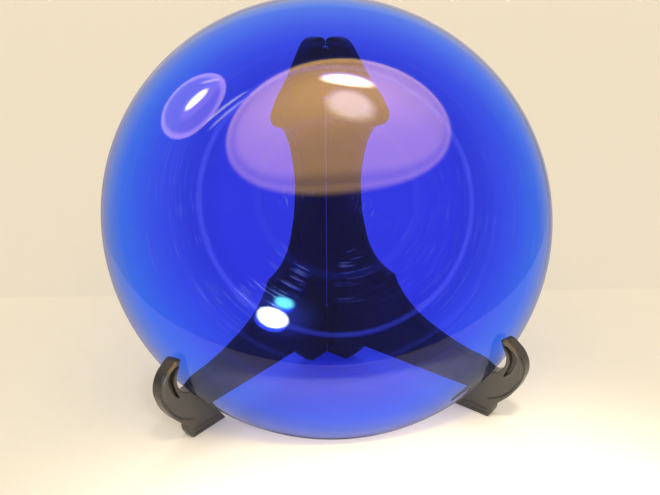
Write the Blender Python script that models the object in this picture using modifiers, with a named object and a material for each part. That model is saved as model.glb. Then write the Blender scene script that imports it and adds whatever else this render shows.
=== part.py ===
"""A large blue glass dish standing on its edge in a folding black plastic plate easel.

The easel is two mirrored moulded leaves that turn on one upright hinge at the back. Each leaf is a flat plate:
a post with a pointed top behind, a low arm running forward, and a curled hook over a small front foot.
The dish is a shallow dome of even wall, its hollow side to the posts and its lip in the two hooks.

Units are metres, +Z is up and the dish faces -Y. The origin is on the table, under the middle of the whole object.
"""

from math import atan, cos, pi, radians, sin

import bmesh
import bpy
from mathutils import Matrix, Vector

MM = 0.001

# Driving dimensions of the easel
LEAF_ANGLE = radians(43.6)  # each leaf's turn away from the middle plane
LEAF_THICKNESS = 7.5 * MM
SEAM_GAP = 0.4 * MM  # from the hinge's own plane to a leaf's inner face
EDGE_ROUNDING = 0.6 * MM
HINGE_Y = 40.95 * MM  # places the whole object's middle over the origin
FOOT_PAD_HEIGHT = 5.0 * MM
FOOT_PAD_PROUD = 0.25 * MM
FOOT_PAD_EMBED = 2.5 * MM  # how far a pad runs into its leaf
WELD = 0.01 * MM

# Hinge
KNUCKLE_RADIUS = 3.1 * MM
KNUCKLE_CLEARANCE = 0.35 * MM
PIN_RADIUS = 0.9 * MM
PIN_HEAD_RADIUS = 1.9 * MM
PIN_HEAD_HEIGHT = 0.9 * MM
PIN_HEAD_EDGE = 0.3 * MM  # the bevel round the head's top
PIN_HEAD_GAP = 0.3 * MM  # from the top knuckle to the head
PIN_SHANK_BELOW = 0.2 * MM  # how far the full shank and then the tip reach under the bottom knuckle
PIN_TIP_BELOW = 0.6 * MM
PIN_TIP_RADIUS = 0.5 * MM
PIN_SEGMENTS = 16
BORE_RADIUS = 1.25 * MM
LOWER_HINGE = (7.0 * MM, 34.0 * MM)  # bottom and top of its knuckles
UPPER_HINGE = (172.0 * MM, 199.0 * MM)
KNUCKLES_PER_HINGE = 3
KNUCKLE_SEGMENTS = 24

# Driving dimensions of the dish
DISH_RADIUS = 130.0 * MM
DISH_LEAN = radians(29.9)  # its lip's plane, back from upright
DISH_FORWARD = 38.3 * MM  # its lip's centre, in front of the hinge
DISH_CENTRE_HEIGHT = 115.45 * MM
WALL_MIDDLE = 5.0 * MM
WALL_LIP = 3.8 * MM
DOME_SLOPE = 0.65  # tangent of the wall's slope at the lip, from the dome alone
DOME_POWER = 2.6
LIP_SLOPE = 0.45  # added by the turned-down lip
LIP_POWER = 22
RING_RADIUS = 74.0 * MM  # the shallow ring groove inside the hollow
RING_HALF_WIDTH = 1.6 * MM
RING_DEPTH = 0.5 * MM
DISH_SEGMENTS = 72
FRONT_STEPS = 13
LIP_STEPS = 5

# A leaf's outline in millimetres: distance forward of the hinge, height, and whether it is a sharp corner
LEAF_OUTLINE = (
    (0.0, 0.0, True),
    (0.0, 203.4, True),
    (2.2, 205.1, False),
    (6.4, 205.4, False),
    (11.9, 203.6, False),
    (19.2, 195.2, False),
    (26.6, 185.0, False),
    (38.4, 171.2, False),
    (41.4, 163.4, False),
    (38.6, 159.2, False),
    (33.0, 157.4, False),
    (28.6, 152.0, False),
    (22.8, 133.4, False),
    (21.8, 116.0, False),
    (25.4, 93.4, False),
    (32.1, 78.5, False),
    (43.0, 70.2, False),
    (48.8, 68.2, True),
    (52.2, 61.6, False),
    (64.4, 49.8, False),
    (81.9, 41.5, False),
    (100.0, 36.0, False),
    (114.0, 33.6, False),
    (122.6, 30.0, False),
    (127.6, 33.4, False),
    (130.0, 41.5, False),
    (128.6, 46.6, False),
    (126.6, 50.5, True),
    (128.4, 52.4, False),
    (134.2, 49.8, False),
    (139.0, 44.6, False),
    (141.0, 37.6, False),
    (139.6, 30.0, False),
    (135.6, 21.4, False),
    (129.4, 13.6, False),
    (124.4, 8.8, True),
    (124.0, 4.2, False),
    (122.0, 0.0, True),
    (97.2, 0.0, True),
    (107.0, 15.0, True),
    (28.3, 15.0, True),
    (24.4, 7.6, False),
    (16.0, 0.0, True),
)
FRONT_PAD = (101.6, 120.8)  # the foot pads, in millimetres forward of the hinge
REAR_PAD = (2.5, 15.4)
OUTLINE_STEPS = 3


# Scene, collections and materials


def clear_scene():
    for obj in list(bpy.data.objects):
        bpy.data.objects.remove(obj, do_unlink=True)


def new_collection(name):
    collection = bpy.data.collections.new(name)
    bpy.context.scene.collection.children.link(collection)
    return collection


def make_material(name, colour, roughness, metallic=0.0, transmission=0.0):
    material = bpy.data.materials.new(name)
    material.use_nodes = True
    shader = material.node_tree.nodes["Principled BSDF"]
    shader.inputs["Base Color"].default_value = (*colour, 1.0)
    shader.inputs["Roughness"].default_value = roughness
    shader.inputs["Metallic"].default_value = metallic
    shader.inputs["Transmission Weight"].default_value = transmission
    return material


def add_object(name, mesh, collection, matrix=None):
    obj = bpy.data.objects.new(name, mesh)
    collection.objects.link(obj)
    if matrix is not None:
        obj.matrix_world = matrix
    return obj


def make_helper(obj):
    obj.hide_render = True
    obj.display_type = "WIRE"
    return obj


def add_boolean(obj, cutter, operation):
    modifier = obj.modifiers.new(cutter.name, "BOOLEAN")
    modifier.operation = operation
    modifier.solver = "EXACT"
    modifier.object = cutter


# The dish


def wall_slope(q):
    """Tangent of the wall's slope at this share of the radius."""
    return DOME_SLOPE * q**DOME_POWER + LIP_SLOPE * q**LIP_POWER


def wall_height(q, span):
    """Height of the wall's middle surface over its own end, by integrating the slope."""
    dome = DOME_SLOPE * (1 - q ** (DOME_POWER + 1)) / (DOME_POWER + 1)
    lip = LIP_SLOPE * (1 - q ** (LIP_POWER + 1)) / (LIP_POWER + 1)
    return span * (dome + lip)


def dish_profile():
    """(radius, height) from the top of the dome, round the lip and back to the middle of the hollow."""
    span = DISH_RADIUS - WALL_LIP / 2

    def wall(q, side):
        slope = atan(wall_slope(q))
        half = (WALL_MIDDLE + (WALL_LIP - WALL_MIDDLE) * q * q) / 2
        height = WALL_LIP / 2 + wall_height(q, span)
        return q * span + side * sin(slope) * half, height + side * cos(slope) * half

    shares = [sin(pi / 2 * i / FRONT_STEPS) for i in range(FRONT_STEPS + 1)]
    front = [wall(q, 1) for q in shares]
    end_slope = atan(wall_slope(1))
    lip = []
    for i in range(1, LIP_STEPS):
        angle = pi / 2 - end_slope - pi * i / LIP_STEPS
        lip.append((span + cos(angle) * WALL_LIP / 2, (1 + sin(angle)) * WALL_LIP / 2))

    ring_share = RING_RADIUS / span
    ring_half_share = RING_HALF_WIDTH / span
    ring_edges = (ring_share + ring_half_share, ring_share - ring_half_share)
    back_shares = [q for q in shares if abs(q - ring_share) > 2 * ring_half_share]
    back = [(q, wall(q, -1)) for q in back_shares]
    back += [(q, wall(q, -1)) for q in ring_edges]
    floor_radius, floor_height = wall(ring_share, -1)
    back.append((ring_share, (floor_radius, floor_height + RING_DEPTH)))
    back.sort(reverse=True)

    profile = front + lip + [point for _, point in back]
    profile[0] = (0.0, profile[0][1])
    profile[-1] = (0.0, profile[-1][1])
    return profile


def build_dish(collection, material):
    """The profile is turned about its own +Z, which then points forward and up along the dish's axis."""
    points = dish_profile()
    mesh = bpy.data.meshes.new("glass_dish")
    mesh.from_pydata([(r, 0.0, h) for r, h in points], [(i, i + 1) for i in range(len(points) - 1)], [])
    place = Matrix.Translation((0.0, HINGE_Y - DISH_FORWARD, DISH_CENTRE_HEIGHT))
    place @= Matrix.Rotation(pi / 2 - DISH_LEAN, 4, "X")
    dish = add_object("glass_dish", mesh, collection, place)
    turn = dish.modifiers.new("turn", "SCREW")
    turn.axis = "Z"
    turn.steps = DISH_SEGMENTS
    turn.render_steps = DISH_SEGMENTS
    turn.use_merge_vertices = True
    turn.merge_threshold = WELD
    turn.use_smooth_shade = True
    mesh.materials.append(material)
    return dish


# The leaves


def leaf_matrix(side):
    """Local X runs forward along the leaf, local Y is up. The hinge is at the origin. Side is -1 left, +1 right."""
    forward = Vector((side * sin(LEAF_ANGLE), -cos(LEAF_ANGLE), 0.0))
    up = Vector((0.0, 0.0, 1.0))
    across = forward.cross(up)
    turn = Matrix((forward, up, across)).transposed().to_4x4()
    return Matrix.Translation((0.0, HINGE_Y, 0.0)) @ turn


def curve_to_mesh(name, curve_object, collection):
    """A mesh with welded caps in the curve's place, so that Booleans can take it."""
    graph = bpy.context.evaluated_depsgraph_get()
    mesh = bpy.data.meshes.new_from_object(curve_object.evaluated_get(graph))
    place = curve_object.matrix_world.copy()
    curve = curve_object.data
    bpy.data.objects.remove(curve_object, do_unlink=True)
    bpy.data.curves.remove(curve)
    shape = bmesh.new()
    shape.from_mesh(mesh)
    bmesh.ops.remove_doubles(shape, verts=shape.verts, dist=WELD)
    bmesh.ops.recalc_face_normals(shape, faces=shape.faces)
    shape.to_mesh(mesh)
    shape.free()
    mesh.name = name
    return add_object(name, mesh, collection, place)


def outline_curve(name, outline, collection):
    """A filled 2D curve through the outline, smooth except at its marked corners."""
    curve = bpy.data.curves.new(name, "CURVE")
    curve.dimensions = "2D"
    curve.fill_mode = "BOTH"
    curve.resolution_u = OUTLINE_STEPS
    curve.extrude = LEAF_THICKNESS / 2 - SEAM_GAP / 2 - EDGE_ROUNDING
    curve.bevel_depth = EDGE_ROUNDING
    curve.bevel_resolution = 0
    curve.offset = -EDGE_ROUNDING
    spline = curve.splines.new("BEZIER")
    spline.bezier_points.add(len(outline) - 1)
    spline.use_cyclic_u = True
    for point, (forward, height, corner) in zip(spline.bezier_points, outline):
        point.co = (forward * MM, height * MM, 0.0)
        point.handle_left_type = "VECTOR" if corner else "AUTO"
        point.handle_right_type = "VECTOR" if corner else "AUTO"
    obj = bpy.data.objects.new(name, curve)
    collection.objects.link(obj)
    return obj


def knuckle_levels(span, mine):
    """(bottom, top) of the knuckles of one hinge: the left leaf has the outer ones, the right leaf the others."""
    bottom, top = span
    step = (top - bottom) / KNUCKLES_PER_HINGE
    levels = []
    for i in range(KNUCKLES_PER_HINGE):
        if (i % 2 == 0) == mine:
            levels.append((bottom + i * step, bottom + (i + 1) * step))
    return levels


def upright_cylinders(name, levels, radius, collection, margin):
    """One mesh of cylinders on the hinge axis. A positive margin lengthens each, a negative one shortens it."""
    shape = bmesh.new()
    for bottom, top in levels:
        low, high = bottom - margin, top + margin
        middle = Matrix.Translation((0.0, HINGE_Y, (low + high) / 2))
        bmesh.ops.create_cone(
            shape,
            cap_ends=True,
            segments=KNUCKLE_SEGMENTS,
            radius1=radius,
            radius2=radius,
            depth=high - low,
            matrix=middle,
        )
    mesh = bpy.data.meshes.new(name)
    shape.to_mesh(mesh)
    shape.free()
    return add_object(name, mesh, collection)


def foot_pads(name, side, collection):
    """The two flat pads under a leaf, standing a little proud of its inner face."""
    shape = bmesh.new()
    inner = -side * SEAM_GAP
    depth = FOOT_PAD_PROUD + FOOT_PAD_EMBED
    for start, end in (REAR_PAD, FRONT_PAD):
        size = Matrix.Diagonal(((end - start) * MM, FOOT_PAD_HEIGHT, depth, 1.0))
        across = inner + side * (FOOT_PAD_PROUD - depth / 2)
        middle = Matrix.Translation(((start + end) / 2 * MM, FOOT_PAD_HEIGHT / 2, across))
        bmesh.ops.create_cube(shape, size=1.0, matrix=middle @ size)
    mesh = bpy.data.meshes.new(name)
    shape.to_mesh(mesh)
    shape.free()
    return add_object(name, mesh, collection, leaf_matrix(side))


def build_leaf(name, side, parts, cutters, material):
    curve_object = outline_curve(name, LEAF_OUTLINE, parts)
    offset = Matrix.Translation((0.0, 0.0, -side * (LEAF_THICKNESS + SEAM_GAP) / 2))
    curve_object.matrix_world = leaf_matrix(side) @ offset
    bpy.context.view_layer.update()
    leaf = curve_to_mesh(name, curve_object, parts)

    mine, theirs = [], []
    for span in (LOWER_HINGE, UPPER_HINGE):
        mine += knuckle_levels(span, side < 0)
        theirs += knuckle_levels(span, side > 0)
    clear_radius = KNUCKLE_RADIUS + KNUCKLE_CLEARANCE
    half_gap = KNUCKLE_CLEARANCE / 2
    clearance = upright_cylinders(name + "_clearance", theirs, clear_radius, cutters, half_gap)
    knuckles = upright_cylinders(name + "_knuckles", mine, KNUCKLE_RADIUS, cutters, -half_gap)
    spans = (LOWER_HINGE, UPPER_HINGE)
    bore = upright_cylinders(name + "_bore", spans, BORE_RADIUS, cutters, PIN_HEAD_HEIGHT)
    head_levels = [(top, top + PIN_HEAD_HEIGHT + KNUCKLE_CLEARANCE) for _, top in spans]
    head_radius = PIN_HEAD_RADIUS + KNUCKLE_CLEARANCE
    head_room = upright_cylinders(name + "_head_room", head_levels, head_radius, cutters, 0.0)
    pads = foot_pads(name + "_pads", side, cutters)
    for helper in (clearance, knuckles, bore, head_room, pads):
        make_helper(helper)
    add_boolean(leaf, pads, "UNION")
    add_boolean(leaf, clearance, "DIFFERENCE")
    add_boolean(leaf, knuckles, "UNION")
    add_boolean(leaf, bore, "DIFFERENCE")
    add_boolean(leaf, head_room, "DIFFERENCE")
    leaf.data.materials.append(material)
    return leaf


# The hinge pins


def build_pin(name, span, collection, material):
    """A straight pin with a small flat head on top, a little longer than its knuckles."""
    bottom, top = span
    head = top + PIN_HEAD_HEIGHT
    profile = (
        (0.0, head),
        (PIN_HEAD_RADIUS - PIN_HEAD_EDGE, head),
        (PIN_HEAD_RADIUS, head - PIN_HEAD_EDGE),
        (PIN_HEAD_RADIUS, top + PIN_HEAD_GAP),
        (PIN_RADIUS, top + PIN_HEAD_GAP),
        (PIN_RADIUS, bottom - PIN_SHANK_BELOW),
        (PIN_TIP_RADIUS, bottom - PIN_TIP_BELOW),
        (0.0, bottom - PIN_TIP_BELOW),
    )
    mesh = bpy.data.meshes.new(name)
    mesh.from_pydata([(r, 0.0, h) for r, h in profile], [(i, i + 1) for i in range(len(profile) - 1)], [])
    pin = add_object(name, mesh, collection, Matrix.Translation((0.0, HINGE_Y, 0.0)))
    turn = pin.modifiers.new("turn", "SCREW")
    turn.axis = "Z"
    turn.steps = PIN_SEGMENTS
    turn.render_steps = PIN_SEGMENTS
    turn.use_merge_vertices = True
    turn.merge_threshold = WELD
    mesh.materials.append(material)
    return pin


def main():
    clear_scene()
    parts = new_collection("glass_dish_on_folding_easel")
    cutters = new_collection("cutters")
    glass = make_material("cobalt_glass", (0.02, 0.04, 0.75), 0.02, transmission=1.0)
    plastic = make_material("black_plastic", (0.012, 0.011, 0.010), 0.35)
    steel = make_material("pin_steel", (0.55, 0.55, 0.55), 0.3, metallic=1.0)
    build_dish(parts, glass)
    build_leaf("left_leaf", -1, parts, cutters, plastic)
    build_leaf("right_leaf", 1, parts, cutters, plastic)
    build_pin("lower_hinge_pin", LOWER_HINGE, parts, steel)
    build_pin("upper_hinge_pin", UPPER_HINGE, parts, steel)


main()
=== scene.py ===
"""Looks for the blue glass dish on its folding black easel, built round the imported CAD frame.

Units are metres, +Z is up and the dish faces -Y.
"""

from math import atan, cos, pi, radians, sin, tan

import bmesh
import bpy
import numpy as np
from mathutils import Matrix, Vector
from mathutils.geometry import delaunay_2d_cdt


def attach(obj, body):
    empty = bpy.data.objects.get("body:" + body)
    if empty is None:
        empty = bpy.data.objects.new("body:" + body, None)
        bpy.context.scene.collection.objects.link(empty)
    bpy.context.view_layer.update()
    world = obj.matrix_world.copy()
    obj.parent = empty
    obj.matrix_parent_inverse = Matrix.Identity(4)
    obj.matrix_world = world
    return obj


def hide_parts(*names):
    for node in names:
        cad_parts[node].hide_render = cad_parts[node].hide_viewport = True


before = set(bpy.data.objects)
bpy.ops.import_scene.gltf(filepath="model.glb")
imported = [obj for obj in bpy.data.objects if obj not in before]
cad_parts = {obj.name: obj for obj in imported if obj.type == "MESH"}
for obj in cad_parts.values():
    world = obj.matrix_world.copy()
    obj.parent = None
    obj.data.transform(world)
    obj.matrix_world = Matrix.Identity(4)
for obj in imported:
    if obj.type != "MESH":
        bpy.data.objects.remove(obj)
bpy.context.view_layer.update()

MM = 0.001

# The easel, as the CAD has it or a little inside that
LEAF_ANGLE = radians(43.6)
LEAF_THICKNESS = 7.5 * MM
HINGE = Vector((0.0, 40.95 * MM, 0.0))
KNUCKLE_RADIUS = 3.05 * MM
KNUCKLE_CLEARANCE = 0.4 * MM
KNUCKLE_HALF_GAP = 0.175 * MM  # from a knuckle's end to the plane it shares with the next one
CLEARANCE_OVERRUN = 0.03 * MM  # keeps a clearance's end face out of the plane of a knuckle's
KNUCKLES_PER_HINGE = 3
BORE_RADIUS = 1.25 * MM
BORE_OVERRUN = 0.9 * MM
PIN_HEAD_ROOM = (2.25 * MM, 1.25)  # its radius, and its height in millimetres
PIN_SEGMENTS = 40  # round the pins and everything they pass through
HINGE_SPANS = ((7.0, 34.0), (172.0, 199.0))  # bottom and top of each hinge's knuckles, in millimetres

# The dish, a little inside the CAD's
DISH_RADIUS = 129.9 * MM
DISH_LEAN = radians(29.9)
DISH_TILT = pi / 2 - DISH_LEAN  # the turn about X from lying flat
DISH_CENTRE = Vector((0.0, HINGE.y - 38.3 * MM, 115.45 * MM))
WALL_MIDDLE = 4.9 * MM
WALL_LIP = 3.7 * MM
DISH_SPAN = DISH_RADIUS - WALL_LIP / 2
DOME = (0.65, 2.6)  # the wall's slope at the lip, as a tangent, and the power by which it grows outwards
TURNED_LIP = (0.45, 22)  # the same, added by the turned-down lip
DISH_STEPS = 60
LIP_STEPS = 14
DISH_SEGMENTS = 240


# Materials


def new_material(name):
    material = bpy.data.materials.new(name)
    material.use_nodes = True
    tree = material.node_tree
    return material, tree, tree.nodes["Principled BSDF"]


def math_node(tree, operation, *values, clamp=False):
    node = tree.nodes.new("ShaderNodeMath")
    node.operation = operation
    node.use_clamp = clamp
    for socket, value in zip(node.inputs, values):
        if isinstance(value, bpy.types.NodeSocket):
            tree.links.new(value, socket)
        else:
            socket.default_value = value
    return node.outputs[0]


def vector_node(tree, operation, *values):
    node = tree.nodes.new("ShaderNodeVectorMath")
    node.operation = operation
    for socket, value in zip(node.inputs, values):
        if isinstance(value, bpy.types.NodeSocket):
            tree.links.new(value, socket)
        else:
            socket.default_value = value
    name = "Value" if operation in ("DOT_PRODUCT", "LENGTH", "DISTANCE") else "Vector"
    return node.outputs[name]


def ramp_node(tree, factor, stops, interpolation="EASE"):
    node = tree.nodes.new("ShaderNodeValToRGB")
    node.color_ramp.interpolation = interpolation
    elements = node.color_ramp.elements
    while len(elements) < len(stops):
        elements.new(0.5)
    for element, (position, colour) in zip(elements, stops):
        element.position = position
        element.color = (*colour, 1.0) if len(colour) == 3 else colour
    tree.links.new(factor, node.inputs["Fac"])
    return node.outputs["Color"]


def mix_colour(tree, factor, a, b, blend="MIX"):
    node = tree.nodes.new("ShaderNodeMix")
    node.data_type = "RGBA"
    node.blend_type = blend
    for name, value in (("Factor", factor), ("A", a), ("B", b)):
        socket = [s for s in node.inputs if s.name == name and s.enabled][0]
        if isinstance(value, bpy.types.NodeSocket):
            tree.links.new(value, socket)
        elif isinstance(value, (int, float)):
            socket.default_value = value
        else:
            socket.default_value = (*value, 1.0)
    return [s for s in node.outputs if s.enabled][0]


def noise_node(tree, where, scale, detail=2.0, roughness=0.5, distortion=0.0):
    node = tree.nodes.new("ShaderNodeTexNoise")
    node.inputs["Scale"].default_value = scale
    node.inputs["Detail"].default_value = detail
    node.inputs["Roughness"].default_value = roughness
    node.inputs["Distortion"].default_value = distortion
    tree.links.new(where, node.inputs["Vector"])
    return node.outputs["Fac"]


def range_node(tree, value, low, high, to_low=0.0, to_high=1.0):
    node = tree.nodes.new("ShaderNodeMapRange")
    node.interpolation_type = "SMOOTHSTEP"
    tree.links.new(value, node.inputs["Value"])
    for name, number in (("From Min", low), ("From Max", high), ("To Min", to_low), ("To Max", to_high)):
        node.inputs[name].default_value = number
    return node.outputs["Result"]


def bump_node(tree, height, strength, distance):
    node = tree.nodes.new("ShaderNodeBump")
    node.inputs["Strength"].default_value = strength
    node.inputs["Distance"].default_value = distance
    tree.links.new(height, node.inputs["Height"])
    return node.outputs["Normal"]


# Rings of painted light in the glass's colour, where its ring relief bends the light: radius, half width and
# strength, in millimetres
GLASS_RINGS = ((74.0, 2.3, 1.0), (89.0, 2.0, 0.3), (43.0, 3.5, 0.25), (102.0, 3.0, 0.2))
RING_LIGHT_COLOUR = (0.055, 0.085, 1.0)
# Scratches are partly real wear and partly painted glints, strongest round this centre and pale in the colour
# below
WEAR_AND_GLINT_CENTRE = (-34.0 * MM, -22.0 * MM, 0.0)  # wear is strongest here, left of the middle
SCRATCH_GLINT_COLOUR = (0.45, 0.65, 1.0)
GLASS_IOR = 1.5
SHADOW_TINT = (0.80, 0.80, 0.97, 1.0)


def glass_material():
    """Cobalt glass with painted light and shade across its radius and at its grey lip, ring-shaped bands of
    painted light, and fine scratches from use drawn partly as painted glints.
    """
    material, tree, shader = new_material("cobalt_glass")
    # The mesh lies in the frame's axes, so the lean is taken out again: Z is then the dish's own axis
    upright = tree.nodes.new("ShaderNodeVectorRotate")
    upright.rotation_type = "X_AXIS"
    upright.inputs["Angle"].default_value = -DISH_TILT
    tree.links.new(tree.nodes.new("ShaderNodeTexCoord").outputs["Object"], upright.inputs["Vector"])
    where = upright.outputs[0]
    flat = vector_node(tree, "MULTIPLY", where, (1.0, 1.0, 0.0))
    radius = vector_node(tree, "LENGTH", flat)
    share = math_node(tree, "DIVIDE", radius, DISH_RADIUS)
    # Painted light and shade across the radius: a darker band a little over halfway out, a brighter azure
    # towards the edge and a grey lip
    colour = ramp_node(tree, share, (
        (0.0, (0.030, 0.044, 0.95)),
        (0.48, (0.027, 0.042, 0.93)),
        (0.535, (0.024, 0.040, 0.86)),
        (0.62, (0.026, 0.050, 0.86)),
        (0.71, (0.036, 0.075, 0.97)),
        (0.80, (0.040, 0.115, 1.0)),
        (0.90, (0.045, 0.18, 1.0)),
        (0.955, (0.12, 0.24, 0.76)),
        (1.0, (0.32, 0.33, 0.44)),
    ), "LINEAR")
    rings = 0.0
    for ring, half_width, strength in GLASS_RINGS:
        off = math_node(tree, "ABSOLUTE", math_node(tree, "SUBTRACT", radius, ring * MM))
        band = range_node(tree, off, half_width * MM, 0.3 * MM, 0.0, strength)
        rings = math_node(tree, "ADD", band, rings)
    # The rings are painted light, mixed into the glass's colour
    colour = mix_colour(tree, rings, colour, RING_LIGHT_COLOUR)
    # Scratches run round the dish: noise stretched along the turn. Their pale lines are partly real wear and
    # partly painted glints
    parts = tree.nodes.new("ShaderNodeSeparateXYZ")
    tree.links.new(where, parts.inputs[0])
    turn = math_node(tree, "ARCTAN2", parts.outputs[1], parts.outputs[0])
    track = tree.nodes.new("ShaderNodeCombineXYZ")
    tree.links.new(math_node(tree, "MULTIPLY", turn, 2.2), track.inputs[0])
    tree.links.new(math_node(tree, "MULTIPLY", radius, 900.0), track.inputs[1])
    fine = noise_node(tree, track.outputs[0], 1.0, 3.0, 0.6)
    worn_and_glinting = noise_node(tree, where, 22.0, 3.0, 0.6, 0.4)
    from_wear_and_glints = vector_node(tree, "DISTANCE", flat, WEAR_AND_GLINT_CENTRE)
    patch = range_node(tree, from_wear_and_glints, 62.0 * MM, 18.0 * MM)
    lines = range_node(tree, fine, 0.54, 0.64)
    scratches_and_glints = math_node(tree, "MULTIPLY", lines, range_node(tree, worn_and_glinting, 0.47, 0.60))
    scratches_and_glints = math_node(tree, "MULTIPLY", scratches_and_glints, math_node(tree, "MULTIPLY_ADD", patch, 0.9, 0.1))
    colour = mix_colour(tree, math_node(tree, "MULTIPLY", scratches_and_glints, 0.5), colour, SCRATCH_GLINT_COLOUR)
    tree.links.new(colour, shader.inputs["Base Color"])
    rough = math_node(tree, "MULTIPLY_ADD", scratches_and_glints, 0.16, 0.0)
    tree.links.new(rough, shader.inputs["Roughness"])
    haze = math_node(tree, "MULTIPLY_ADD", rings, -0.12, 1.0)
    haze = math_node(tree, "MULTIPLY_ADD", scratches_and_glints, -0.30, haze, clamp=True)
    tree.links.new(haze, shader.inputs["Transmission Weight"])
    shader.inputs["IOR"].default_value = GLASS_IOR
    # Light from lamps and the room passes through to the table, tinted
    path = tree.nodes.new("ShaderNodeLightPath")
    clear = tree.nodes.new("ShaderNodeBsdfTransparent")
    clear.inputs["Color"].default_value = SHADOW_TINT
    both = tree.nodes.new("ShaderNodeMixShader")
    tree.links.new(path.outputs["Is Shadow Ray"], both.inputs[0])
    tree.links.new(shader.outputs[0], both.inputs[1])
    tree.links.new(clear.outputs[0], both.inputs[2])
    tree.links.new(both.outputs[0], tree.nodes["Material Output"].inputs["Surface"])
    return material


def plastic_material():
    """Moulded black plastic gone slightly grey, with a fine grain and dust, painted shade in its grooves and
    along its edges, which are also glossier, and a painted highlight on its raised lines.
    """
    material, tree, shader = new_material("black_plastic")
    where = tree.nodes.new("ShaderNodeTexCoord").outputs["Object"]
    cloudy = noise_node(tree, where, 55.0, 4.0, 0.6)
    grain = noise_node(tree, where, 2600.0, 2.0, 0.6)
    dust = range_node(tree, noise_node(tree, where, 900.0, 2.0, 0.7), 0.66, 0.74)
    colour = ramp_node(tree, cloudy, (
        (0.3, (0.050, 0.047, 0.042)),
        (0.7, (0.066, 0.062, 0.055)),
    ), "LINEAR")
    colour = mix_colour(tree, math_node(tree, "MULTIPLY", dust, 0.25), colour, (0.26, 0.25, 0.23))
    # Painted shade makes it darker, and glossier, in grooves, sunk marks and round the edges, and a painted
    # highlight makes it paler on raised lines
    relief = tree.nodes.new("ShaderNodeAttribute")
    relief.attribute_name = "relief"
    sunk = math_node(tree, "MINIMUM", math_node(tree, "MAXIMUM", relief.outputs["Fac"], 0.0), 1.0)
    raised = math_node(tree, "MULTIPLY", relief.outputs["Fac"], -3.5)
    raised = math_node(tree, "MINIMUM", math_node(tree, "MAXIMUM", raised, 0.0), 1.0)
    colour = mix_colour(tree, math_node(tree, "MULTIPLY", sunk, 0.9), colour, (0.016, 0.011, 0.008))
    colour = mix_colour(tree, math_node(tree, "MULTIPLY", raised, 0.5), colour, (0.13, 0.12, 0.10))
    tree.links.new(colour, shader.inputs["Base Color"])
    rough = math_node(tree, "MULTIPLY_ADD", cloudy, 0.25, 0.27)
    rough = math_node(tree, "MULTIPLY_ADD", sunk, -0.12, rough)
    tree.links.new(rough, shader.inputs["Roughness"])
    tree.links.new(bump_node(tree, grain, 0.25, 0.00008), shader.inputs["Normal"])
    shader.inputs["Specular IOR Level"].default_value = 0.6
    return material


def steel_material():
    material, tree, shader = new_material("pin_steel")
    where = tree.nodes.new("ShaderNodeTexCoord").outputs["Object"]
    lines = noise_node(tree, vector_node(tree, "MULTIPLY", where, (900.0, 900.0, 6000.0)), 1.0, 3.0, 0.6)
    colour = ramp_node(tree, lines, ((0.35, (0.40, 0.39, 0.38)), (0.65, (0.62, 0.61, 0.59))), "LINEAR")
    tree.links.new(colour, shader.inputs["Base Color"])
    tree.links.new(math_node(tree, "MULTIPLY_ADD", lines, 0.2, 0.18), shader.inputs["Roughness"])
    tree.links.new(bump_node(tree, lines, 0.2, 0.00003), shader.inputs["Normal"])
    shader.inputs["Metallic"].default_value = 1.0
    return material


# The dish


def dish_surfaces():
    """Front and back of the wall as (radius, height) lists from the middle outwards."""
    front, back = [], []
    for i in range(DISH_STEPS + 1):
        q = sin(pi / 2 * i / DISH_STEPS)
        slope = atan(sum(tangent * q**power for tangent, power in (DOME, TURNED_LIP)))
        half = (WALL_MIDDLE + (WALL_LIP - WALL_MIDDLE) * q * q) / 2
        rise = sum(t * (1 - q ** (power + 1)) / (power + 1) for t, power in (DOME, TURNED_LIP))
        height = WALL_LIP / 2 + DISH_SPAN * rise
        for side, points in ((1, front), (-1, back)):
            points.append((q * DISH_SPAN + side * sin(slope) * half, height + side * cos(slope) * half))
    return front, back


def lathe(name, profile, segments, place):
    """A closed solid turned about local Z from a profile that starts and ends on the axis."""
    verts, faces = [], []
    count = len(profile) - 2
    verts.append((0.0, 0.0, profile[0][1]))
    for k in range(segments):
        a = 2 * pi * k / segments
        verts += [(r * cos(a), r * sin(a), h) for r, h in profile[1:-1]]
    verts.append((0.0, 0.0, profile[-1][1]))
    last = len(verts) - 1
    for k in range(segments):
        a, b = 1 + k * count, 1 + (k + 1) % segments * count
        faces.append((0, a, b))
        faces += [(a + i, a + i + 1, b + i + 1, b + i) for i in range(count - 1)]
        faces.append((last, b + count - 1, a + count - 1))
    mesh = bpy.data.meshes.new(name)
    mesh.from_pydata(verts, [], faces)
    mesh.polygons.foreach_set("use_smooth", [True] * len(mesh.polygons))
    obj = bpy.data.objects.new(name, mesh)
    bpy.context.scene.collection.objects.link(obj)
    obj.matrix_world = place
    return obj


def build_dish():
    front, back = dish_surfaces()
    front[0], back[0] = (0.0, front[0][1]), (0.0, back[0][1])
    end_slope = atan(DOME[0] + TURNED_LIP[0])
    lip = []
    for i in range(1, LIP_STEPS):
        angle = pi / 2 - end_slope - pi * i / LIP_STEPS
        lip.append((DISH_SPAN + cos(angle) * WALL_LIP / 2, (1 + sin(angle)) * WALL_LIP / 2))
    profile = front + lip + back[::-1]
    dish = lathe("glass_dish_visual", profile, DISH_SEGMENTS, Matrix.Translation(DISH_CENTRE))
    dish.data.transform(Matrix.Rotation(DISH_TILT, 4, "X"))
    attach(dish, "glass_dish")
    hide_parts("glass_dish")
    dish.data.materials.append(glass_material())
    return dish


# The easel's leaves

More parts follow.
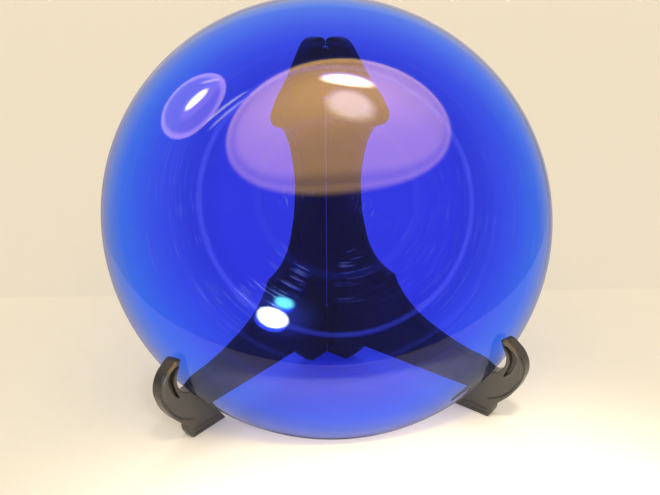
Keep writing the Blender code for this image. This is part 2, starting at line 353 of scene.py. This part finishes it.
# A leaf's outline in millimetres: distance forward of the hinge, height, and whether it is a sharp corner
LEAF_OUTLINE = (
    (0.0, 0.0, True),
    (0.0, 203.4, True),
    (2.2, 205.1, False),
    (6.4, 205.4, False),
    (11.9, 203.6, False),
    (19.2, 195.2, False),
    (26.6, 185.0, False),
    (38.4, 171.2, False),
    (41.4, 163.4, False),
    (38.6, 159.2, False),
    (33.0, 157.4, False),
    (28.6, 152.0, False),
    (22.8, 133.4, False),
    (21.8, 116.0, False),
    (25.4, 93.4, False),
    (32.1, 78.5, False),
    (43.0, 70.2, False),
    (48.8, 68.2, True),
    (52.2, 61.6, False),
    (64.4, 49.8, False),
    (81.9, 41.5, False),
    (100.0, 36.0, False),
    (114.0, 33.6, False),
    (122.6, 30.0, False),
    (127.6, 33.4, False),
    (130.0, 41.5, False),
    (128.6, 46.6, False),
    (126.6, 50.5, True),
    (128.4, 52.4, False),
    (134.2, 49.8, False),
    (139.0, 44.6, False),
    (141.0, 37.6, False),
    (139.6, 30.0, False),
    (135.6, 21.4, False),
    (129.4, 13.6, False),
    (124.4, 8.8, True),
    (124.0, 4.2, False),
    (122.0, 0.0, True),
    (97.2, 0.0, True),
    (107.0, 15.0, True),
    (28.3, 15.0, True),
    (24.4, 7.6, False),
    (16.0, 0.0, True),
)
HOOK_FRONT = (27, 35)  # the outline's points from the hook's tip to the front of its foot
# The hook's sunk crescent, along its throat and back along its outer side, and the fine groove under it
CRESCENT = (
    (127.4, 48.6), (129.8, 47.0), (131.6, 44.0), (132.3, 40.0), (131.5, 36.0), (130.1, 32.5), (128.5, 28.4),
    (132.8, 32.6), (134.9, 36.8), (136.1, 40.5), (136.2, 44.0), (134.4, 46.9), (130.4, 49.1),
)
CRESCENT_PASSES = 2  # how often its corners are cut back
CRESCENT_DEPTH = 2.2
CRESCENT_WALL = 0.45  # the width of its sloping wall
LOWER_GROOVE = ((121.0, 12.2), (125.4, 14.4), (129.3, 17.0), (133.0, 21.0), (135.9, 25.2), (138.2, 31.0))
PAD_GROOVES = (2.3, 5.0)  # heights of the two lines round each foot
PAD_SPANS = ((2.5, 19.5), (99.5, 120.6))
PIN_MARKS = {-1: (9.0, 107.2, 2.6), 1: (13.0, 106.6, 4.6)}  # forward, height and radius of a moulding mark
EDGE_ROUND = 0.5
HINGE_EDGE_ROUND = 0.05
HOOK_BEVEL = (1.3, 1.7)  # depth and width of the slope along the hook's outer edge
# Height, distance from the edge and half width of the raised line inside that slope
HOOK_BEAD = (0.28, 2.3, 0.45)
TIP_LEAN = (1.7, 6.5)  # how far the tip's inner face leans to the dish, and how far round the tip
INNER_FACE = 0.07  # the visible inner face stands this far outside the hinge's own plane
SHARP_ANGLE = radians(28)

# How finely a face is drawn, in millimetres
OUTLINE_SPACING = 0.9
RINGS = (0.06, 0.17, 0.33, 0.52, 1.0)  # lines of points this far inside the outline
HOOK_RINGS = (1.3, 1.7, 1.85, 2.3, 2.75)  # extra ones on the slope, in front of HOOK_START
HOOK_START = 112.0
# Grids of face points: forward from and to, height from and to, and spacing. The later ones replace the
# first where they lie.
GRIDS = (
    (1.0, 142.0, 1.0, 206.0, 3.0),
    (95.0, 142.0, 0.5, 56.0, 0.5),
    (1.0, 22.0, 0.5, 8.0, 0.62),
    (3.0, 19.0, 100.0, 113.0, 0.6),
)


def outline_loop():
    """The outline as an even closed loop of points in millimetres, and each one's place in LEAF_OUTLINE."""
    curve = bpy.data.curves.new("outline", "CURVE")
    curve.dimensions = "2D"
    curve.fill_mode = "NONE"
    curve.resolution_u = 10
    spline = curve.splines.new("BEZIER")
    spline.bezier_points.add(len(LEAF_OUTLINE) - 1)
    spline.use_cyclic_u = True
    for point, (forward, height, corner) in zip(spline.bezier_points, LEAF_OUTLINE):
        point.co = (forward, height, 0.0)
        point.handle_left_type = point.handle_right_type = "VECTOR" if corner else "AUTO"
    obj = bpy.data.objects.new("outline", curve)
    bpy.context.scene.collection.objects.link(obj)
    bpy.context.view_layer.update()
    mesh = obj.evaluated_get(bpy.context.evaluated_depsgraph_get()).to_mesh()
    coarse = np.array([v.co[:2] for v in mesh.vertices])
    bpy.data.objects.remove(obj)
    places = np.arange(len(coarse)) / (len(coarse) / len(LEAF_OUTLINE))
    loop, along = [], []
    for i, start in enumerate(coarse):
        end = coarse[(i + 1) % len(coarse)]
        steps = max(1, int(np.ceil(np.linalg.norm(end - start) / OUTLINE_SPACING)))
        for k in range(steps):
            loop.append(start + (end - start) * k / steps)
            along.append(places[i] + k / steps * len(LEAF_OUTLINE) / len(coarse))
    return np.array(loop), np.array(along)


def distance_to_line(points, line, closed=False):
    """Each point's distance to a polyline, and the index of its nearest stretch."""
    line = np.asarray(line, float)
    ends = np.roll(line, -1, axis=0) if closed else line[1:]
    starts = line if closed else line[:-1]
    best = np.full(len(points), 1e9)
    nearest = np.zeros(len(points), int)
    for i, (a, b) in enumerate(zip(starts, ends)):
        step = b - a
        t = np.clip((points - a) @ step / max(step @ step, 1e-12), 0, 1)
        d = np.linalg.norm(points - a - t[:, None] * step, axis=1)
        closer = d < best
        best[closer], nearest[closer] = d[closer], i
    return best, nearest


def inside_polygon(points, polygon):
    polygon = np.asarray(polygon, float)
    crossings = np.zeros(len(points), int)
    x, y = points[:, 0], points[:, 1]
    for (ax, ay), (bx, by) in zip(polygon, np.roll(polygon, -1, axis=0)):
        if ay == by:
            continue
        crosses = (ay > y) != (by > y)
        crossings += crosses & (x < (bx - ax) * (y - ay) / (by - ay) + ax)
    return crossings % 2 == 1


def rounded_loop(corners, passes):
    """A closed line through the corners' neighbourhood, with each corner cut back this many times."""
    line = np.asarray(corners, float)
    for _ in range(passes):
        after = np.roll(line, -1, axis=0)
        line = np.stack([0.75 * line + 0.25 * after, 0.25 * line + 0.75 * after], axis=1).reshape(-1, 2)
    return line


def inset(line, distance):
    """A closed line moved towards its inside, where it still fits."""
    tangent = np.roll(line, -1, axis=0) - np.roll(line, 1, axis=0)
    tangent /= np.maximum(np.linalg.norm(tangent, axis=1), 1e-9)[:, None]
    inward = np.stack([tangent[:, 1], -tangent[:, 0]], axis=1)
    if np.sum(line[:, 0] * np.roll(line[:, 1], -1) - np.roll(line[:, 0], -1) * line[:, 1]) > 0:
        inward = -inward
    moved = line + inward * distance
    clear, _ = distance_to_line(moved, line, closed=True)
    return moved[(clear > distance * 0.97) & inside_polygon(moved, line)]


def smooth_step(x):
    x = np.clip(x, 0, 1)
    return x * x * (3 - 2 * x)


def relief_depth(points, loop, along, side, inner):
    """How far a leaf's face lies under its full thickness at each point, in millimetres."""
    edge, nearest = distance_to_line(points, loop, closed=True)
    place = along[nearest]
    rounding = np.where(place < 1, HINGE_EDGE_ROUND, EDGE_ROUND)
    reach = np.clip(rounding - edge, 0, rounding)
    depth = rounding - np.sqrt(rounding**2 - reach**2)
    first, last = HOOK_FRONT
    on_hook = smooth_step((place - first - 0.3) / 1.5) * smooth_step(last - place + 0.6)
    bevel_depth, bevel_width = HOOK_BEVEL
    if not inner:
        bevel_depth *= 0.5
    slope = bevel_depth * on_hook * np.clip((bevel_width - edge) / (bevel_width - 0.6), 0, 1)
    depth = np.maximum(depth, slope)
    bead_height, bead_place, bead_width = HOOK_BEAD
    if inner:
        depth -= bead_height * on_hook * np.clip(1 - ((edge - bead_place) / bead_width) ** 2, 0, 1)
    crescent = rounded_loop(CRESCENT, CRESCENT_PASSES)
    wall, _ = distance_to_line(points, crescent, closed=True)
    sunk = inside_polygon(points, crescent) * CRESCENT_DEPTH * np.clip(wall / CRESCENT_WALL, 0, 1)
    groove, _ = distance_to_line(points, LOWER_GROOVE)
    sunk = np.maximum(sunk, 0.55 * np.clip(1 - (groove / 0.75) ** 2, 0, 1))
    for height in PAD_GROOVES:
        for start, end in PAD_SPANS:
            groove, _ = distance_to_line(points, ((start, height), (end, height)))
            sunk = np.maximum(sunk, 0.35 * np.clip(1 - (groove / 0.55) ** 2, 0, 1))
    forward, height, radius = PIN_MARKS[side]
    if inner:
        from_mark = np.linalg.norm(points - (forward, height), axis=1)
        sunk = np.maximum(sunk, 0.3 * smooth_step((radius - from_mark) / 0.5))
    return depth + sunk


def face_points(loop):
    """Rows of points for one face, and how many of the rows are lines whose neighbours are joined."""
    rows = [inset(loop, ring) for ring in RINGS]
    for ring in HOOK_RINGS:
        row = inset(loop, ring)
        rows.append(row[row[:, 0] > HOOK_START])
    crescent = rounded_loop(CRESCENT, CRESCENT_PASSES)
    rows += [crescent, inset(crescent, CRESCENT_WALL)]
    lines = len(rows)
    drawn = np.concatenate(rows[len(RINGS):] + [loop])
    for i, (x0, x1, y0, y1, step) in enumerate(GRIDS):
        xs, ys = np.meshgrid(np.arange(x0, x1, step), np.arange(y0, y1, step))
        shift = (np.arange(xs.shape[0]) % 2) * step / 2
        grid = np.stack([(xs + shift[:, None]).ravel(), ys.ravel()], axis=1)
        clear, _ = distance_to_line(grid, loop, closed=True)
        grid = grid[(clear > RINGS[-1] + step * 0.4) & inside_polygon(grid, loop)]
        for a, b, c, d, _ in GRIDS[1:] if i == 0 else ():
            grid = grid[~((grid[:, 0] > a) & (grid[:, 0] < b) & (grid[:, 1] > c) & (grid[:, 1] < d))]
        near = np.array([np.min(np.sum((drawn - p) ** 2, axis=1)) for p in grid])
        rows.append(grid[near > (0.45 * step) ** 2])
    return rows, lines


def leaf_matrix(side):
    forward = Vector((side * sin(LEAF_ANGLE), -cos(LEAF_ANGLE), 0.0))
    up = Vector((0.0, 0.0, 1.0))
    turn = Matrix((forward, up, forward.cross(up))).transposed().to_4x4()
    return Matrix.Translation(HINGE) @ turn


def leaf_plate(name, side, loop, along, place):
    """A closed plate in the leaf's own axes: two relief faces joined round the outline."""
    rows, lines = face_points(loop)
    flat = [Vector(p) for p in np.concatenate([loop] + rows)]
    count = len(loop)
    edges = [(i, (i + 1) % count) for i in range(count)]
    start = count
    for row in rows[:lines]:
        for i in range(len(row)):
            if np.linalg.norm(row[i] - row[i - 1]) < OUTLINE_SPACING * 1.6:
                edges.append((start + (i - 1) % len(row), start + i))
        start += len(row)
    flat, _, triangles, _, _, _ = delaunay_2d_cdt(flat, edges, [list(range(count))], 1, 1e-6)
    points = np.array([v[:] for v in flat])
    verts, faces, relief = [], [], []
    # The leaf's own Z points inwards on the left leaf and outwards on the right one
    for outward in (-side, side):
        inner = outward == -side
        depth = relief_depth(points, loop, along, side, inner)
        level = (INNER_FACE + depth) if inner else (LEAF_THICKNESS / MM - depth)
        base = len(verts)
        tip = np.array(LEAF_OUTLINE[HOOK_FRONT[0]][:2])
        most, reach = TIP_LEAN
        near_tip = np.exp(-np.sum(((points - tip) / reach) ** 2, axis=1))
        lean = most * (1 - level * MM / LEAF_THICKNESS) * near_tip
        verts += [((x - d) * MM, y * MM, -side * z * MM) for (x, y), d, z in zip(points, lean, level)]
        # The relief attribute: depth under the face, held at 0.75 along the outline, which the plastic turns
        # into painted shade where sunk and along the edge, and into a painted highlight where raised
        sunk = np.clip(depth / 1.2, -0.25, 1)
        sunk[:count] = 0.75
        relief += list(sunk)
        flip = inner == (side > 0)
        faces += [tuple(base + i for i in (t if flip else t[::-1])) for t in triangles]
    half = len(points)
    for i in range(count):
        j = (i + 1) % count
        faces.append((i, j, half + j, half + i))
    mesh = bpy.data.meshes.new(name)
    mesh.from_pydata(verts, [], faces)
    shape = bmesh.new()
    shape.from_mesh(mesh)
    bmesh.ops.recalc_face_normals(shape, faces=shape.faces)
    shape.to_mesh(mesh)
    shape.free()
    mesh.polygons.foreach_set("use_smooth", [True] * len(mesh.polygons))
    mesh.attributes.new("relief", "FLOAT", "POINT").data.foreach_set("value", relief)
    obj = bpy.data.objects.new(name, mesh)
    bpy.context.scene.collection.objects.link(obj)
    obj.matrix_world = place
    return obj


def upright_cylinders(name, levels, radius, margin):
    shape = bmesh.new()
    for bottom, top in levels:
        low, high = bottom * MM - margin, top * MM + margin
        middle = Matrix.Translation((HINGE.x, HINGE.y, (low + high) / 2))
        bmesh.ops.create_cone(
            shape,
            cap_ends=True,
            segments=PIN_SEGMENTS,
            radius1=radius,
            radius2=radius,
            depth=high - low,
            matrix=middle,
        )
    mesh = bpy.data.meshes.new(name)
    shape.to_mesh(mesh)
    shape.free()
    obj = bpy.data.objects.new(name, mesh)
    bpy.context.scene.collection.objects.link(obj)
    return obj


def knuckle_levels(span, outer):
    """(bottom, top) of one hinge's outer knuckles, or of its middle one."""
    bottom, top = span
    step = (top - bottom) / KNUCKLES_PER_HINGE
    wanted = range(0 if outer else 1, KNUCKLES_PER_HINGE, 2)
    return [(bottom + i * step, bottom + (i + 1) * step) for i in wanted]


def cut(obj, tool, operation):
    modifier = obj.modifiers.new(tool.name, "BOOLEAN")
    modifier.operation = operation
    modifier.solver = "EXACT"
    modifier.object = tool
    graph = bpy.context.evaluated_depsgraph_get()
    mesh = bpy.data.meshes.new_from_object(obj.evaluated_get(graph))
    obj.modifiers.clear()
    obj.data = mesh
    bpy.data.objects.remove(tool)


def build_leaf(node, side, material):
    loop, along = outline_loop()
    leaf = leaf_plate(node + "_visual", side, loop, along, leaf_matrix(side))
    mine, theirs = [], []
    for span in HINGE_SPANS:
        mine += knuckle_levels(span, side < 0)
        theirs += knuckle_levels(span, side > 0)
    room_radius, room_height = PIN_HEAD_ROOM
    heads = [(top, top + room_height) for _, top in HINGE_SPANS]
    clear_radius = KNUCKLE_RADIUS + KNUCKLE_CLEARANCE
    clear_gap = KNUCKLE_HALF_GAP + CLEARANCE_OVERRUN
    cut(leaf, upright_cylinders("clearance", theirs, clear_radius, clear_gap), "DIFFERENCE")
    cut(leaf, upright_cylinders("knuckles", mine, KNUCKLE_RADIUS, -KNUCKLE_HALF_GAP), "UNION")
    cut(leaf, upright_cylinders("bore", HINGE_SPANS, BORE_RADIUS, BORE_OVERRUN), "DIFFERENCE")
    cut(leaf, upright_cylinders("heads", heads, room_radius, 0.0), "DIFFERENCE")
    leaf.data.materials.clear()
    leaf.data.materials.append(material)
    leaf.data.set_sharp_from_angle(angle=SHARP_ANGLE)
    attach(leaf, node)
    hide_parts(node)
    return leaf


# The hinge pins

PIN_RADIUS = 0.88
PIN_HEAD = (1.86, 0.9)  # radius and height


def build_pin(node, material):
    """A turned pin: a domed head on a straight shank with a chamfered tip."""
    bottom, top = HINGE_SPANS[0] if node.startswith("lower") else HINGE_SPANS[1]
    wide, high = PIN_HEAD
    dome = [(0.0, 0.02), (0.5, 0.03), (0.75, 0.08), (0.93, 0.2), (1.0, 0.36)]  # share of the radius, and drop
    head = [(share * wide, top + high - drop) for share, drop in dome]
    head += [(wide, top + 0.36), (wide - 0.06, top + 0.3)]
    shank = [(PIN_RADIUS, top + 0.3), (PIN_RADIUS, bottom - 0.15)]
    tip = [(0.45, bottom - 0.58), (0.0, bottom - 0.58)]
    profile = [(r * MM, h * MM) for r, h in head + shank + tip]
    pin = lathe(node + "_visual", profile, PIN_SEGMENTS, Matrix.Translation(HINGE))
    pin.data.materials.append(material)
    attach(pin, "left_leaf")
    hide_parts(node)


# Surroundings


FLOOR_HALF = 100.0
# Two points on the line where the table ends
TABLE_EDGE = (Vector((-0.251, HINGE.y + 0.116, 0.0)), Vector((0.282, HINGE.y + 0.068, 0.0)))
TABLE_TONE = (0.95, 0.93, 0.86)
BACKDROP_TONE = (0.90, 0.88, 0.83)
THROUGH_GLASS_TONE = (0.95, 0.95, 1.0)
THROUGH_GLASS_GLOW = 0.17
FLOOR_LEVEL = -0.1 * MM


def build_floor():
    """One very large pale plane: the table's tone in front and the backdrop's beyond a straight line."""
    mesh = bpy.data.meshes.new("floor")
    shape = bmesh.new()
    bmesh.ops.create_grid(shape, x_segments=2, y_segments=2, size=FLOOR_HALF)
    shape.to_mesh(mesh)
    shape.free()
    floor = bpy.data.objects.new("floor", mesh)
    bpy.context.scene.collection.objects.link(floor)
    floor.location.z = FLOOR_LEVEL
    material, tree, shader = new_material("floor_paper")
    where = tree.nodes.new("ShaderNodeTexCoord").outputs["Object"]
    start, end = TABLE_EDGE
    along = (end - start).normalized()
    beyond = Vector((-along.y, along.x, 0.0))
    from_start = vector_node(tree, "SUBTRACT", where, tuple(start))
    past = vector_node(tree, "DOT_PRODUCT", from_start, tuple(beyond))
    backdrop = range_node(tree, past, -0.001, 0.002)
    tone = mix_colour(tree, backdrop, TABLE_TONE, BACKDROP_TONE)
    mottle = noise_node(tree, where, 60.0, 4.0, 0.6)
    tone = mix_colour(tree, math_node(tree, "MULTIPLY", mottle, 0.06), tone, (0.5, 0.48, 0.44))
    path = tree.nodes.new("ShaderNodeLightPath")
    # Seen through the glass the paper is a little whiter, which stands in for the light inside the glass
    tone = mix_colour(tree, path.outputs["Is Transmission Ray"], tone, THROUGH_GLASS_TONE)
    tree.links.new(tone, shader.inputs["Base Color"])
    shader.inputs["Roughness"].default_value = 0.7
    shader.inputs["Specular IOR Level"].default_value = 0.1
    shader.inputs["Emission Color"].default_value = (0.25, 0.35, 1.0, 1.0)
    glow = math_node(tree, "MULTIPLY", path.outputs["Is Transmission Ray"], THROUGH_GLASS_GLOW)
    tree.links.new(glow, shader.inputs["Emission Strength"])
    mesh.materials.append(material)


def direction(azimuth, elevation):
    """Azimuth 0 is towards the viewer, along -Y, and 90 to the right, along +X, in degrees."""
    a, e = radians(azimuth), radians(elevation)
    return Vector((sin(a) * cos(e), -cos(a) * cos(e), sin(e)))


def lamp_mask(tree, ray, azimuth, elevation, half_width, half_height, roll, softness):
    """1 inside an ellipse round this direction and 0 outside it, with a soft edge. Sizes are in degrees."""
    ahead = direction(azimuth, elevation)
    across = Vector((cos(radians(azimuth)), sin(radians(azimuth)), 0.0))
    above = across.cross(-ahead)
    turn = radians(roll)
    side = across * cos(turn) + above * sin(turn)
    top = above * cos(turn) - across * sin(turn)
    depth = vector_node(tree, "DOT_PRODUCT", ray, tuple(ahead))
    safe = math_node(tree, "MAXIMUM", depth, 0.05)
    squares = []
    for axis, half_angle in ((side, half_width), (top, half_height)):
        offset = vector_node(tree, "DOT_PRODUCT", ray, tuple(axis / tan(radians(half_angle))))
        offset = math_node(tree, "DIVIDE", offset, safe)
        squares.append(math_node(tree, "MULTIPLY", offset, offset))
    reach = math_node(tree, "SQRT", math_node(tree, "ADD", *squares))
    node = tree.nodes.new("ShaderNodeMapRange")
    node.interpolation_type = "SMOOTHSTEP"
    tree.links.new(reach, node.inputs["Value"])
    node.inputs["From Min"].default_value = 1.0
    node.inputs["From Max"].default_value = 1.0 - softness
    front = math_node(tree, "GREATER_THAN", depth, 0.05)
    return math_node(tree, "MULTIPLY", node.outputs["Result"], front)


# Lamps as the glass reflects them: azimuth, elevation, half width, half height, roll, softness, colour and
# strength. Angles are in degrees. They add up, and a negative one hollows out the one before it.
LAMPS = (
    # A wide warm window of light with a bright rim along its top
    (16.6, 58.1, 23.2, 16.0, 0, 0.06, (1.0, 0.56, 0.10), 7.0),
    (16.6, 57.5, 23.0, 15.4, 0, 0.12, (1.0, 0.56, 0.10), -7.0),
    (17.2, 58.1, 23.8, 16.2, 0, 0.22, (1.0, 0.54, 0.10), 7.3),
    (16.0, 60.8, 23.5, 14.5, 0, 0.95, (1.0, 0.55, 0.08), 5.4),
    (22.0, 64.0, 5.8, 2.6, -28, 0.45, (1.0, 0.85, 0.62), 34.0),
    (17.0, 56.5, 4.6, 5.2, 0, 0.5, (1.0, 0.86, 0.62), 9.0),
    # A second lamp to the left, in its shade
    (-64.5, 58.8, 13.6, 10.0, 10, 0.06, (1.0, 0.60, 0.40), 7.0),
    (-64.5, 58.8, 12.6, 8.9, 10, 0.16, (1.0, 0.60, 0.40), -4.6),
    (-60.0, 60.5, 7.5, 4.8, 76, 0.4, (1.0, 0.60, 0.52), 1.5),
    (-62.5, 60.5, 4.4, 2.3, 76, 0.4, (1.0, 0.80, 0.68), 30.0),
    (-67.0, 66.0, 4.2, 0.7, 35, 0.5, (1.0, 0.7, 0.6), 7.0),
    # Two pale strips between them
    (-34.5, 61.0, 7.4, 0.8, 51, 0.5, (0.95, 0.9, 0.35), 6.5),
    (-30.5, 59.2, 6.4, 0.8, 51, 0.5, (0.95, 0.9, 0.4), 4.5),
    # The camera's own lamp, low in front
    (-8.8, 17.2, 4.6, 3.6, 40, 0.35, (0.85, 1.0, 1.05), 60.0),
    (-4.7, 23.0, 2.7, 2.2, 30, 0.6, (0.15, 0.8, 1.0), 30.0),
    (-7.0, 19.0, 11.0, 9.0, 40, 1.0, (0.1, 0.2, 1.0), 3.0),
)


DIFFUSE_LIGHT = (0.97, 0.85, 0.67)  # from all round, weaker from the viewer's side
BACKGROUND_LIGHT = (0.88, 0.755, 0.57)  # for every other ray but a glossy one


def build_world():
    world = bpy.data.worlds.new("studio")
    bpy.context.scene.world = world
    world.use_nodes = True
    tree = world.node_tree
    background = tree.nodes["Background"]
    ray = vector_node(tree, "NORMALIZE", tree.nodes.new("ShaderNodeTexCoord").outputs["Generated"])
    path = tree.nodes.new("ShaderNodeLightPath")
    away = vector_node(tree, "DOT_PRODUCT", ray, (0.0, 1.0, 0.0))
    room = ramp_node(tree, math_node(tree, "MULTIPLY_ADD", away, 0.5, 0.5), (
        (0.0, (0.20, 0.19, 0.20)),
        (0.45, (0.22, 0.21, 0.22)),
        (0.62, (0.72, 0.66, 0.66)),
        (1.0, (1.25, 1.10, 0.90)),
    ), "LINEAR")
    for azimuth, elevation, width, height, roll, softness, colour, strength in LAMPS:
        mask = lamp_mask(tree, ray, azimuth, elevation, width, height, roll, softness)
        # A colour socket holds nothing below zero, so a negative lamp is taken away as a positive one
        blend = "ADD" if strength > 0 else "SUBTRACT"
        room = mix_colour(tree, mask, room, tuple(c * abs(strength) for c in colour), blend)
    front = vector_node(tree, "DOT_PRODUCT", ray, (0.0, -0.94, -0.34))
    weaker = range_node(tree, front, -0.35, 0.75, 1.18, 0.35)
    soft = vector_node(tree, "SCALE", DIFFUSE_LIGHT, weaker)
    soft = mix_colour(tree, path.outputs["Is Diffuse Ray"], BACKGROUND_LIGHT, soft)
    seen = mix_colour(tree, path.outputs["Is Glossy Ray"], soft, room)
    tree.links.new(seen, background.inputs["Color"])
    background.inputs["Strength"].default_value = 1.0


def add_lamp(name, kind, place, target, power, colour, size, spot=None):
    data = bpy.data.lights.new(name, kind)
    data.energy = power
    data.color = colour
    if kind == "AREA":
        data.shape = "DISK"
        data.size = size
    else:
        data.shadow_soft_size = size
        data.spot_size = radians(spot)
        data.spot_blend = 1.0
    lamp = bpy.data.objects.new(name, data)
    bpy.context.scene.collection.objects.link(lamp)
    lamp.location = place
    lamp.rotation_euler = (Vector(target) - Vector(place)).to_track_quat("-Z", "Y").to_euler()
    lamp.visible_camera = False
    lamp.visible_glossy = False
    lamp.visible_transmission = False


def build_lights():
    # A small lamp beside the camera, a soft pool on the table in front, and one behind the dish
    add_lamp("front_lamp", "AREA", (0.02, -0.42, 0.30), (0.0, 0.0, 0.08), 0.35, (0.92, 0.98, 1.0), 0.05)
    add_lamp("table_lamp", "SPOT", (0.03, -0.34, 0.62), (0.03, -0.24, 0.0), 30.0, (1.0, 0.85, 0.72), 0.06, 42)
    add_lamp("back_lamp", "SPOT", (0.0, 0.42, 0.70), (0.0, 0.0, 0.0), 3.0, (1.0, 0.97, 1.0), 0.12, 26)


# The camera, fitted to the view of the object
SENSOR = 36.0
LENS_SHARE = 35 / 33  # the focal length as a share of the sensor's width
CAMERA_PLACE = Vector((-0.0449, HINGE.y - 0.4202, 0.239))
CAMERA_HEADING = radians(-6.42)
CAMERA_TILT = radians(21.13)  # down from level
CAMERA_ROLL = radians(-0.25)


def build_camera():
    data = bpy.data.cameras.new("camera")
    data.sensor_width = SENSOR
    data.lens = SENSOR * LENS_SHARE
    data.clip_start = 0.01
    camera = bpy.data.objects.new("camera", data)
    bpy.context.scene.collection.objects.link(camera)
    heading = Matrix.Rotation(CAMERA_HEADING, 4, "Z")
    tilt = Matrix.Rotation(pi / 2 - CAMERA_TILT, 4, "X")
    roll = Matrix.Rotation(CAMERA_ROLL, 4, "Z")
    camera.matrix_world = Matrix.Translation(CAMERA_PLACE) @ heading @ tilt @ roll
    bpy.context.scene.camera = camera


build_camera()
build_world()
build_lights()
build_floor()
build_dish()
plastic = plastic_material()
build_leaf("left_leaf", -1, plastic)
build_leaf("right_leaf", 1, plastic)
steel = steel_material()
for pin in ("lower_hinge_pin", "upper_hinge_pin"):
    build_pin(pin, steel)
bpy.context.scene.view_settings.view_transform = "Standard"
